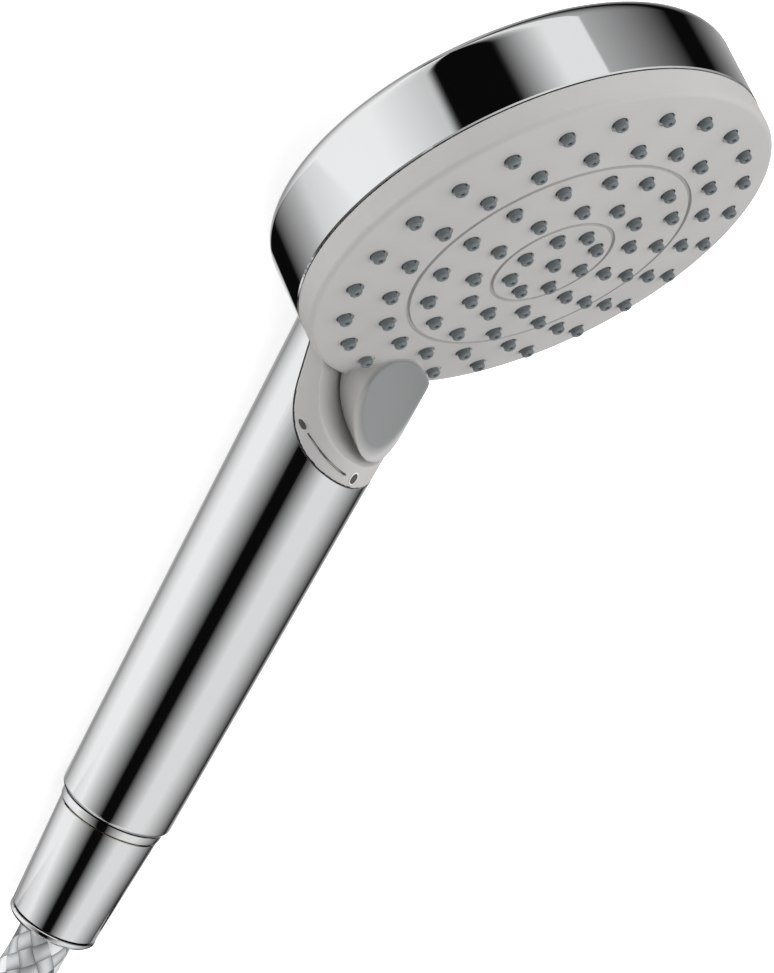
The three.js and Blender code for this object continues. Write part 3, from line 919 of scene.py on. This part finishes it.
def head_distance(point):
    """Distance outside the head's wall and back edge, and the way straight out of them."""
    sizes = bpy.context.scene.shower_sizes
    spread_out = math.hypot(point.x, point.y)
    over = spread_out - (sizes.head_radius - BACK_EDGE)
    under = (BACK_EDGE - sizes.head_depth) - point.z
    outward = Vector((point.x, point.y, 0)).normalized()
    down = Vector((0, 0, -1))
    if over > 0 and under > 0:
        reach = math.hypot(over, under)
        return reach - BACK_EDGE, (outward * over + down * under) / reach
    if over > under:
        return over - BACK_EDGE, outward
    return under - BACK_EDGE, down


def root_station(turn, radius):
    """Middle of a ball that rests on the head and the handle, and where it touches each."""
    slope = Vector((math.cos(turn), math.sin(turn), CONE_TAPER)).normalized()

    def ball(distance):
        out = cone_radius(distance)
        on_cone = Vector((out * math.cos(turn), out * math.sin(turn), distance))
        return HANDLE_IN_HEAD @ (on_cone + slope * radius)

    near, far = HANDLE_START, 110.0
    for _ in range(40):
        middle = (near + far) / 2
        if head_distance(ball(middle))[0] > radius:
            far = middle
        else:
            near = middle
    centre = ball(far)
    to_cone = -(HANDLE_IN_HEAD.to_3x3() @ slope)
    to_head = -head_distance(centre)[1]
    return centre, to_head, to_cone


def handle_solid(segments=160, steps=8):
    """The handle with the hollow curve at its root, closed inside the head."""
    radius = bpy.context.scene.shower_sizes.root_fillet
    shape = bmesh.new()
    turns = [2 * math.pi * i / segments for i in range(segments)]
    stations = [root_station(turn, radius) for turn in turns]
    rings = [[shape.verts.new(HANDLE_IN_HEAD @ Vector((0, 0, HANDLE_START)))]]
    sunk = 0.05
    rings.append([
        shape.verts.new(centre + to_head * (radius + 2.5)) for centre, to_head, _ in stations
    ])
    for step in range(steps + 1):
        ring = []
        for centre, to_head, to_cone in stations:
            way = to_head.slerp(to_cone, step / steps)
            reach = radius + (sunk if step == 0 else 0)
            ring.append(shape.verts.new(centre + way * reach))
        rings.append(ring)
    tip = [(cone_radius(d), d) for d in (90, 120, 150)]
    edge = 1.3
    end_radius = cone_radius(HANDLE_END)
    tip += arc(end_radius - edge, HANDLE_END - edge, edge, 1.2, 90, 6)
    for out, distance in tip:
        ring = []
        for turn in turns:
            local = Vector((out * math.cos(turn), out * math.sin(turn), distance))
            ring.append(shape.verts.new(HANDLE_IN_HEAD @ local))
        rings.append(ring)
    rings.append([shape.verts.new(HANDLE_IN_HEAD @ Vector((0, 0, HANDLE_END)))])
    for low, high in zip(rings, rings[1:]):
        bridge(shape, low, high)
    return solid("handle", shape)


def collar_outline(inset):
    """The collar from the side: a straight foot that runs into an arc, then up past the cone."""
    x, z, radius = COLLAR_ARC
    radius -= inset
    bend = arc(x, z, radius, -50, 0, 24)
    run = 12
    foot = (bend[0][0] - run * math.cos(math.radians(40)), bend[0][1] - run * math.sin(math.radians(40)))
    return [foot, *bend, (x + radius, 30), (30, 30), (30, foot[1])]


def collar_block(inset):
    return prism("collar block", collar_outline(inset), lambda u, v, end: (u, 60 * end - 30, v))


def duct(low, high):
    offset, radius = DUCT
    piece = tube_between("duct", 0, radius, low, high, 48)
    return moved(piece, HANDLE_IN_HEAD @ Matrix.Translation((offset, 0, 0)))


def make_body():
    sizes = bpy.context.scene.shower_sizes
    radius, depth = sizes.head_radius, sizes.head_depth
    edge = arc(radius - BACK_EDGE, BACK_EDGE - depth, BACK_EDGE, -90, 0, 10)
    profile = [(0, -depth), (20, -depth), (40, -depth), *edge, (radius, SEAM - 0.25),
               (radius - 0.25, SEAM), (0, SEAM)]
    body = lathe("chrome_body", profile, 200)
    combine(body, "UNION", handle_solid())
    block = combine(collar_block(0), "DIFFERENCE", tube_between("core", 0, radius, -40, 40, 200))
    face_space = tube_between("face space", 0, radius + 0.3, SEAM, 40, 200)
    cavity = tube_between("cavity", 0, radius - 2.6, 2.4 - depth, 0, 96)
    bore = moved(tube_between("bore", 0, 9.3, 84, 180, 64), HANDLE_IN_HEAD)
    combine(body, "DIFFERENCE", face_space, block, cavity, bore, duct(38, 112))
    return finish_piece(body, HEAD, chrome(), "shower_body", "chrome", "body_shell")


# ---- Collar and its marks ----------------------------------------------------------------------


def recess():
    """The hollow that the lever swings over, turned about the head's axis."""
    x, z, radius = RECESS_ARC
    inner, top = 45, 40
    floor = arc(x, z, radius, -56, 0, 20)
    profile = [*floor, (x + radius, top), (inner, top), (inner, floor[0][1])]
    return lathe("recess", profile, 200, closed=True)


def cone_piece(start, stop):
    """A length of the handle's cone, without its hollow root."""
    profile = [(0, start), (cone_radius(start), start), (cone_radius(stop), stop), (0, stop)]
    return moved(lathe("cone", profile, 160), HANDLE_IN_HEAD)


def make_collar():
    collar = cone_piece(44, 82)
    combine(collar, "INTERSECT", collar_block(0.25))
    core = tube_between("core", 0, 50.3, -40, 40, 200)
    combine(collar, "DIFFERENCE", core, recess(), duct(38, 112))
    soften(collar, 0.26, 4)
    return finish_piece(collar, HEAD, grey_plastic(), "shower_body", "grey_plastic", "collar")


def cone_top(x, y):
    """Height of the handle's cone over a point of the head's plane."""
    inverse = HANDLE_IN_HEAD.inverted()
    low, high = -HANDLE_MEET + x * math.tan(HANDLE_TILT), 40.0
    for _ in range(40):
        middle = (low + high) / 2
        local = inverse @ Vector((x, y, middle))
        if math.hypot(local.x, local.y) > cone_radius(local.z):
            high = middle
        else:
            low = middle
    return low


def mark(name, outline, lift, finish, slot):
    """A thin flat inlay on the cone, from an outline in the head's plane."""
    shape = bmesh.new()
    ends = []
    for sink in (-0.25, lift):
        ends.append([shape.verts.new((x, y, cone_top(x, y) + sink)) for x, y in outline])
    for end in ends:
        shape.faces.new(end)
    bridge(shape, *ends)
    return finish_piece(solid(name, shape), HEAD, finish, "shower_body", slot)


def oval(radius, degrees, along_ring, across, count=28):
    turn = math.radians(degrees)
    centre = Vector((radius * math.cos(turn), radius * math.sin(turn)))
    out, side = Vector((math.cos(turn), math.sin(turn))), Vector((-math.sin(turn), math.cos(turn)))
    points = []
    for i in range(count):
        a = 2 * math.pi * i / count
        points.append(tuple(centre + side * along_ring * math.cos(a) + out * across * math.sin(a)))
    return points


MARK_RADIUS = 61.0
SMALL_DOT, LARGE_DOT, SWEEP = -12.8, -1.3, (-12.0, -3.7)  # degrees from the handle's line
SWEEP_WIDTH = 0.32


def make_marks():
    """A small dot, the line that sweeps on from it, and a large dot with a light rim."""
    small = oval(MARK_RADIUS, SMALL_DOT, 0.34, 0.55)
    mark("small_dot", small, 0.4, mark_grey(), "grey_plastic")
    start, stop = SWEEP
    angles = [math.radians(start + (stop - start) * i / 24) for i in range(25)]
    inner, outer = [
        [(radius * math.cos(a), radius * math.sin(a)) for a in angles]
        for radius in (MARK_RADIUS - SWEEP_WIDTH / 2, MARK_RADIUS + SWEEP_WIDTH / 2)
    ]
    mark("sweep_line", inner + outer[::-1], 0.2, mark_grey(), "grey_plastic")
    rim = oval(MARK_RADIUS, LARGE_DOT, 1.0, 1.26)
    mark("large_dot_rim", rim, 0.14, white_plastic(), "white_plastic")
    large = oval(MARK_RADIUS, LARGE_DOT, 0.82, 1.08)
    mark("large_dot", large, 0.2, mark_grey(), "grey_plastic")


# ---- Spray face, lever and nozzles -------------------------------------------------------------


def face_profile():
    groove, depth = 0.42, 0.65
    top = [(0, dome(0)), (6, dome(6))]
    for radius in (13.1, 30.3):
        for offset, sink in ((-groove, 0), (-groove * 0.6, depth), (groove * 0.6, depth), (groove, 0)):
            top.append((radius + offset, dome(radius + offset) - sink))
        top += [(radius + 5, dome(radius + 5)), (radius + 10, dome(radius + 10))]
    shoulder = arc(48.5, -5.98, 1.4, 84, 0, 8)
    under = [(49.9, -10.35), (49.75, -10.5), (47.4, -10.5), (47.2, -7.4)]
    under += [(r, dome(r) - 2.2) for r in (46.6, 30, 0)]
    return [*top, *shoulder, *under]


LEVER_HALF_WIDTH, LEVER_FOOT, LEVER_BEND = 9.7, 38.8, 46.5
# The ball that hollows the lever for the thumb.
SCOOP_CENTRE, SCOOP_HALF_SIZES, SCOOP_TILT = (35.6, -4.5, 18.2), (27, 24, 20), -36


def lever_plan(half_width, foot, bend, reach, steps=72):
    """The lever from above: two half ovals that meet where it is widest."""
    outline = []
    for i in range(steps):
        turn = math.radians(-90 + 360 * i / steps)
        half_length = reach - bend if math.cos(turn) > 0 else bend - foot
        outline.append((bend + half_length * math.cos(turn), half_width * math.sin(turn)))
    return outline


def make_lever():
    """A tongue that carries on the handle's cone, hollowed for the thumb, with a soft foot."""
    x, z, radius = RECESS_ARC
    reach = x + radius - 1
    outline = lever_plan(LEVER_HALF_WIDTH, LEVER_FOOT, LEVER_BEND, reach)
    plan = prism("lever", outline, lambda u, v, end: (u, v, -10.5 + 26 * end))
    combine(plan, "INTERSECT", cone_piece(10, 90))
    under = arc(x, z, radius - 1, -56, 0, 16)
    below = lathe("below", [*under, (70, under[-1][1]), (70, -20), (49.9, -20), (49.9, under[0][1])],
                  200, closed=True)
    inside = lathe(
        "inside", [(0, -30), (48.2, -30), (48.2, -7), (30, dome(30) - 1.2), (0, -1.2)], 96
    )
    bmesh_ball = bmesh.new()
    bmesh.ops.create_uvsphere(bmesh_ball, u_segments=96, v_segments=64, radius=1)
    scoop = solid("scoop", bmesh_ball)
    tilt = Matrix.Rotation(math.radians(SCOOP_TILT), 4, "Y")
    scoop_place = Matrix.Translation(SCOOP_CENTRE) @ tilt @ Matrix.Diagonal((*SCOOP_HALF_SIZES, 1))
    scoop.data.transform(scoop_place)
    combine(plan, "DIFFERENCE", below, inside, scoop)
    # A patch of the dome, just under it, that the lever's foot runs into.
    patch_top = [(r, dome(r) - 0.07) for r in (0, 20, 36, 44)]
    patch = lathe("patch", [*patch_top, *arc(46.9, -7.57, 2.95, 82, 0, 8), (49.84, -9.5), (46, -9.5),
                            (46, dome(46) - 1.6), (0, -1.6)], 200)
    border = prism(
        "border", lever_plan(13.5, 32, 45, 62), lambda u, v, end: (u, v, -12 + 30 * end)
    )
    combine(patch, "INTERSECT", border)
    combine(plan, "UNION", patch)
    soften(plan, 0.26, 6)
    # Painted shade for the thumb hollow: 1 on the hollow's surface, falling to 0 on the shoulders round it.
    hollow = plan.data.attributes.new("hollow", "FLOAT", "POINT")
    to_ball = scoop_place.inverted()
    for vertex in plan.data.vertices:
        away = (to_ball @ vertex.co).length - 1.0
        hollow.data[vertex.index].value = 1 - min(1.0, max(0.0, (away - 0.005) / 0.06))
    return finish_piece(plan, HEAD @ DISC_TURN, lever_plastic_painted_shade(), "spray_disc", "grey_plastic")


def nozzle_places():
    places = [Vector((0, 0, dome(0)))]
    for row, (radius, count) in enumerate(NOZZLE_RINGS):
        for i in range(1 if row == len(NOZZLE_RINGS) - 1 else 0, count):
            turn = 2 * math.pi * i / count
            places.append(Vector((radius * math.cos(turn), radius * math.sin(turn), dome(radius))))
    return places


def repeat_tree():
    """Sets a copy of a piece at each point, turned to face away from the middle."""
    found = bpy.data.node_groups.get("Repeat at points")
    if found:
        return found
    tree = bpy.data.node_groups.new("Repeat at points", "GeometryNodeTree")
    tree.interface.new_socket(name="Points", in_out="INPUT", socket_type="NodeSocketGeometry")
    tree.interface.new_socket(name="Piece", in_out="INPUT", socket_type="NodeSocketObject")
    size = tree.interface.new_socket(name="Size", in_out="INPUT", socket_type="NodeSocketFloat")
    size.default_value = 1.0
    tree.interface.new_socket(name="Finish", in_out="INPUT", socket_type="NodeSocketMaterial")
    tree.interface.new_socket(name="Result", in_out="OUTPUT", socket_type="NodeSocketGeometry")
    make = tree.nodes.new
    entry, leave = make("NodeGroupInput"), make("NodeGroupOutput")
    points, info = make("GeometryNodeMeshToPoints"), make("GeometryNodeObjectInfo")
    instances, realise = make("GeometryNodeInstanceOnPoints"), make("GeometryNodeRealizeInstances")
    paint, place = make("GeometryNodeSetMaterial"), make("GeometryNodeInputPosition")
    split, turn = make("ShaderNodeSeparateXYZ"), make("ShaderNodeCombineXYZ")
    link(tree, entry.outputs["Points"], points.inputs["Mesh"])
    link(tree, entry.outputs["Piece"], info.inputs["Object"])
    link(tree, place.outputs[0], split.inputs[0])
    link(tree, math_node(tree, "ARCTAN2", split.outputs[1], split.outputs[0]), turn.inputs[2])
    link(tree, points.outputs[0], instances.inputs["Points"])
    link(tree, info.outputs["Geometry"], instances.inputs["Instance"])
    link(tree, turn.outputs[0], instances.inputs["Rotation"])
    link(tree, entry.outputs["Size"], instances.inputs["Scale"])
    link(tree, instances.outputs[0], realise.inputs[0])
    link(tree, realise.outputs[0], paint.inputs["Geometry"])
    link(tree, entry.outputs["Finish"], paint.inputs["Material"])
    link(tree, paint.outputs[0], leave.inputs[0])
    return tree


def repeated(name, piece, places, finish, size=1.0):
    """Copies of piece at the places, as one plain mesh; the piece itself is used up."""
    mesh = bpy.data.meshes.new(name)
    mesh.from_pydata([tuple(p) for p in places], [], [])
    made = new_object(name, mesh)
    tree = repeat_tree()
    modifier = made.modifiers.new("repeat", "NODES")
    modifier.node_group = tree
    sockets = {s.name: s.identifier for s in tree.interface.items_tree if s.in_out == "INPUT"}
    modifier[sockets["Piece"]] = piece
    modifier[sockets["Size"]] = size
    modifier[sockets["Finish"]] = finish
    bake(made)
    bpy.data.objects.remove(piece)
    if not made.data.polygons:
        raise RuntimeError(f"{name} came out empty")
    return made


HOLE_RADIUS, HOLE_MOUTH = 1.62, 1.98  # of a nozzle's hole, and of its bevelled edge


def make_face():
    face = lathe("spray_plate", face_profile(), 200)
    hole, mouth = HOLE_RADIUS, HOLE_MOUTH
    cutter = lathe("hole", [(0, -6), (hole, -6), (hole, -0.25), (mouth, 0.12), (mouth, 3), (0, 3)], 20)
    holes = repeated("holes", cutter, nozzle_places(), grey_plastic())
    combine(face, "DIFFERENCE", holes)
    place = HEAD @ DISC_TURN
    return finish_piece(face, place, grey_plastic(), "spray_disc", "grey_plastic", "spray_face")


def make_nozzles():
    sizes = bpy.context.scene.shower_sizes
    radius, height = sizes.nozzle_radius, sizes.nozzle_height
    outline = [(0, -3.4), (radius, -3.4), (radius, height - 0.3), (radius - 0.3, height),
               (0.62, height), (0.45, height - 0.15), (0.45, height - 0.9), (0, height - 0.9)]
    nozzle = lathe("nozzle", outline, 20)
    nozzles = repeated("nozzles", nozzle, nozzle_places(), silicone())
    place = HEAD @ DISC_TURN
    finish_piece(nozzles, place, silicone(), "spray_disc", "silicone", "nozzle_mat")
    sheet = [(out, dome(out) - 2.6) for out in (0, 30, 45.6)]
    sheet += [(out, dome(out) - 4) for out in (45.6, 30, 0)]
    mat = lathe("nozzle_sheet", sheet, 120)
    return finish_piece(mat, place, silicone(), "spray_disc", "silicone")


# ---- Fittings ----------------------------------------------------------------------------------


def make_hose_nut():
    nut = softened([(10.45, 167), (11.3, 167), (9.9, 192.8), (7, 192.8), (7, 180.2), (10.45, 180.2)],
                   0.35, closed=True)
    nut = lathe("conical_nut", nut, 160, closed=True)
    finish_piece(nut, HANDLE, chrome(), "hose_nut_body", "chrome", "hose_nut")
    lip = softened([(7, 193.1), (9.95, 193.1), (10, 194), (9.3, 194.8), (7, 194.8)], 0.4, closed=True)
    lip = lathe("nut_lip", lip, 160, closed=True)
    finish_piece(lip, HANDLE, chrome(), "hose_nut_body", "chrome", "hose_nut_ring")
    inlet = softened([(10.4, 164.8), (11.6, 164.8), (11.6, 166.6), (10.4, 166.6)], 0.3, closed=True)
    inlet = lathe("inlet_band", inlet, 160, closed=True)
    return finish_piece(inlet, HANDLE, chrome(), "shower_body", "chrome", "inlet_ring")


def make_far_fitting():
    """The union nut with grip ribs, and the crimped sleeve on the hose's end."""
    sizes = bpy.context.scene.shower_sizes
    nut = softened([(7.6, 11.5), (11.2, 11.5), (11.75, 12.6), (11.75, 26), (11.6, 27), (10.4, 27),
                    (10.4, 13.3), (7.6, 13.3)], 0.3, closed=True)
    nut = lathe("union_nut", nut, 144, closed=True)
    rib = prism("rib", [(11.5, -0.42), (12.0, -0.36), (12.2, 0), (12.0, 0.36), (11.5, 0.42)],
                lambda u, v, end: (u - 11.7, v, 13.2 + 12.2 * end - 19.3))
    places = []
    for i in range(sizes.nut_ribs):
        turn = 2 * math.pi * i / sizes.nut_ribs
        places.append(Vector((11.7 * math.cos(turn), 11.7 * math.sin(turn), 19.3)))
    ribs = repeated("grip ribs", rib, places, chrome())
    combine(nut, "UNION", ribs)
    finish_piece(nut, FAR, chrome(), "far_nut_body", "chrome", "far_nut")
    sleeve = [(4.5, 0.3), (7, 0.3), (7, 2.2), (6.6, 2.8), (6.6, 3.6), (7, 4.2), (7, 6.2), (6.6, 6.8),
              (6.6, 7.6), (7, 8.2), (7, 13), (4.5, 13)]
    sleeve = lathe("far_sleeve", softened(sleeve, 0.25, closed=True), 96, closed=True)
    finish_piece(sleeve, FAR, chrome(), "shower_body", "chrome", "far_ferrule")
    return nut, sleeve


INNER_FINISHES = {
    "white_plastic": white_plastic, "black_rubber": black_rubber, "brass": brass, "steel": steel,
    "chrome": chrome, "grey_plastic": grey_plastic, "silicone": silicone,
}


def finish_inner_nodes():
    """Gives every node that is still shown the finish of its slot."""
    slots = {part["node"]: part["material_slot"] for part in frame["record"]["subparts"]}
    for name, node in frame["nodes"].items():
        if node.hide_render:
            continue
        finish = INNER_FINISHES[slots[name]]()
        node.data.materials.clear()
        node.data.materials.append(finish)


# ---- Operators and panel -----------------------------------------------------------------------


class SHOWER_OT_stage(bpy.types.Operator):
    """Camera, floor and studio light"""

    bl_idname = "shower.stage"
    bl_label = "Stage"

    def execute(self, context):
        make_stage()
        return {"FINISHED"}


class SHOWER_OT_hose(bpy.types.Operator):
    """The braided hose, wound and tied, with its union nut"""

    bl_idname = "shower.hose"
    bl_label = "Hose"

    def execute(self, context):
        hose, path = make_hose()
        pieces = [*make_ties(), *make_far_fitting(), "far_tail", "far_washer"]
        return {"FINISHED"}


class SHOWER_OT_body(bpy.types.Operator):
    """The chrome head and handle"""

    bl_idname = "shower.body"
    bl_label = "Head and handle"

    def execute(self, context):
        make_body()
        return {"FINISHED"}


class SHOWER_OT_collar(bpy.types.Operator):
    """The grey collar and the marks on it"""

    bl_idname = "shower.collar"
    bl_label = "Collar"

    def execute(self, context):
        make_collar()
        make_marks()
        return {"FINISHED"}


class SHOWER_OT_face(bpy.types.Operator):
    """The spray face and its lever"""

    bl_idname = "shower.face"
    bl_label = "Spray face"

    def execute(self, context):
        make_face()
        make_lever()
        return {"FINISHED"}


class SHOWER_OT_nozzles(bpy.types.Operator):
    """The silicone nozzles"""

    bl_idname = "shower.nozzles"
    bl_label = "Nozzles"

    def execute(self, context):
        make_nozzles()
        return {"FINISHED"}


class SHOWER_OT_hose_nut(bpy.types.Operator):
    """The conical hose nut and the rings beside it"""

    bl_idname = "shower.hose_nut"
    bl_label = "Hose nut"

    def execute(self, context):
        make_hose_nut()
        return {"FINISHED"}


class SHOWER_OT_inner(bpy.types.Operator):
    """Finishes for the pieces inside"""

    bl_idname = "shower.inner"
    bl_label = "Inner pieces"

    def execute(self, context):
        finish_inner_nodes()
        return {"FINISHED"}


OPERATORS = (
    SHOWER_OT_stage, SHOWER_OT_hose, SHOWER_OT_body, SHOWER_OT_collar, SHOWER_OT_face,
    SHOWER_OT_nozzles, SHOWER_OT_hose_nut, SHOWER_OT_inner,
)


class SHOWER_PT_panel(bpy.types.Panel):
    bl_idname = "SHOWER_PT_panel"
    bl_label = "Handheld shower head"
    bl_space_type = "VIEW_3D"
    bl_region_type = "UI"
    bl_category = "Shower"

    def draw(self, context):
        for group in (context.scene.shower_sizes, context.scene.shower_colours, context.scene.hose_sizes):
            for name in group.__annotations__:
                self.layout.prop(group, name)
        for operator in OPERATORS:
            self.layout.operator(operator.bl_idname)


CLASSES = (ShowerSizes, ShowerColours, HoseSizes, *OPERATORS, SHOWER_PT_panel)


def register():
    for cls in CLASSES:
        bpy.utils.register_class(cls)
    bpy.types.Scene.shower_sizes = PointerProperty(type=ShowerSizes)
    bpy.types.Scene.shower_colours = PointerProperty(type=ShowerColours)
    bpy.types.Scene.hose_sizes = PointerProperty(type=HoseSizes)


def unregister():
    del bpy.types.Scene.shower_sizes
    del bpy.types.Scene.shower_colours
    del bpy.types.Scene.hose_sizes
    for cls in reversed(CLASSES):
        bpy.utils.unregister_class(cls)


def main():
    register()
    for operator in OPERATORS:
        group, name = operator.bl_idname.split(".")
        getattr(getattr(bpy.ops, group), name)()


if __name__ == "__main__":
    main()
